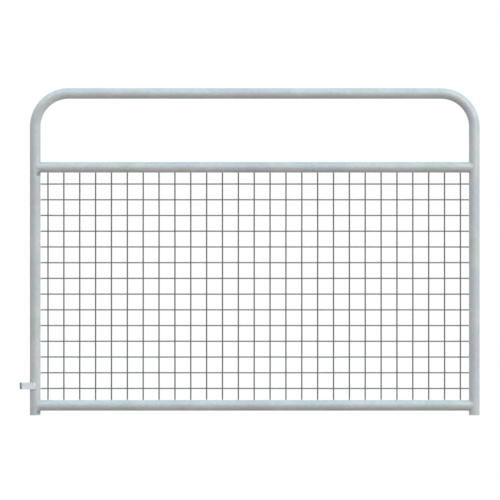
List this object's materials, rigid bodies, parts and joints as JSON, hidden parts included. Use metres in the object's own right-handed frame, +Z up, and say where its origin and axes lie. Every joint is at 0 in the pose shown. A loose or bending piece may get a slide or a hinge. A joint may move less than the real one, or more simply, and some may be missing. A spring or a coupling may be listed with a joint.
{
  "type": "livestock panel gate",
  "caption": "Galvanised wire-filled tube gate panel: bent tube frame, two coped rails, square welded wire mesh below an open top gap, and a hinge strap low on one upright.",
  "frame": {"origin": "on the hinge pin's axis, half way up the hinge strap, in the gate's mid plane", "axes": "+X from the hinge side to the latch side, +Y from the gate's front (the side where the upright wires lie) to its back, +Z up along the hinge pin"},
  "size_m": [1.7864, 0.051, 1.27],
  "materials": {
    "galvanised_tube": "pre-galvanised tube, satin with a faint spangle",
    "galvanised_wire": "drawn zinc-coated wire, dull grey",
    "galvanised_bar": "rolled flat bar, zinc coated, satin",
    "galvanised_weld": "rippled weld metal under zinc paint, matt"
  },
  "bodies": {
    "root": {"outer_frame": "galvanised_tube", "middle_rail": "galvanised_tube", "bottom_rail": "galvanised_tube", "mesh_upright_wire_01": "galvanised_wire", "mesh_upright_wire_02": "galvanised_wire", "mesh_upright_wire_03": "galvanised_wire", "mesh_upright_wire_04": "galvanised_wire", "mesh_upright_wire_05": "galvanised_wire", "mesh_upright_wire_06": "galvanised_wire", "mesh_upright_wire_07": "galvanised_wire", "mesh_upright_wire_08": "galvanised_wire", "mesh_upright_wire_09": "galvanised_wire", "mesh_upright_wire_10": "galvanised_wire", "mesh_upright_wire_11": "galvanised_wire", "mesh_upright_wire_12": "galvanised_wire", "mesh_upright_wire_13": "galvanised_wire", "mesh_upright_wire_14": "galvanised_wire", "mesh_upright_wire_15": "galvanised_wire", "mesh_upright_wire_16": "galvanised_wire", "mesh_upright_wire_17": "galvanised_wire", "mesh_upright_wire_18": "galvanised_wire", "mesh_upright_wire_19": "galvanised_wire", "mesh_upright_wire_20": "galvanised_wire", "mesh_upright_wire_21": "galvanised_wire", "mesh_upright_wire_22": "galvanised_wire", "mesh_upright_wire_23": "galvanised_wire", "mesh_upright_wire_24": "galvanised_wire", "mesh_upright_wire_25": "galvanised_wire", "mesh_upright_wire_26": "galvanised_wire", "mesh_upright_wire_27": "galvanised_wire", "mesh_cross_wire_01": "galvanised_wire", "mesh_cross_wire_02": "galvanised_wire", "mesh_cross_wire_03": "galvanised_wire", "mesh_cross_wire_04": "galvanised_wire", "mesh_cross_wire_05": "galvanised_wire", "mesh_cross_wire_06": "galvanised_wire", "mesh_cross_wire_07": "galvanised_wire", "mesh_cross_wire_08": "galvanised_wire", "mesh_cross_wire_09": "galvanised_wire", "mesh_cross_wire_10": "galvanised_wire", "mesh_cross_wire_11": "galvanised_wire", "mesh_cross_wire_12": "galvanised_wire", "mesh_cross_wire_13": "galvanised_wire", "mesh_cross_wire_14": "galvanised_wire", "hinge_strap": "galvanised_bar", "middle_rail_hinge_side_weld": "galvanised_weld", "middle_rail_latch_side_weld": "galvanised_weld", "bottom_rail_hinge_side_weld": "galvanised_weld", "bottom_rail_latch_side_weld": "galvanised_weld", "hinge_strap_front_weld": "galvanised_weld", "hinge_strap_back_weld": "galvanised_weld", "mesh_top_tack_welds": "galvanised_weld", "mesh_bottom_tack_welds": "galvanised_weld", "mesh_hinge_side_tack_welds": "galvanised_weld", "mesh_latch_side_tack_welds": "galvanised_weld"}
  },
  "joints": []
}
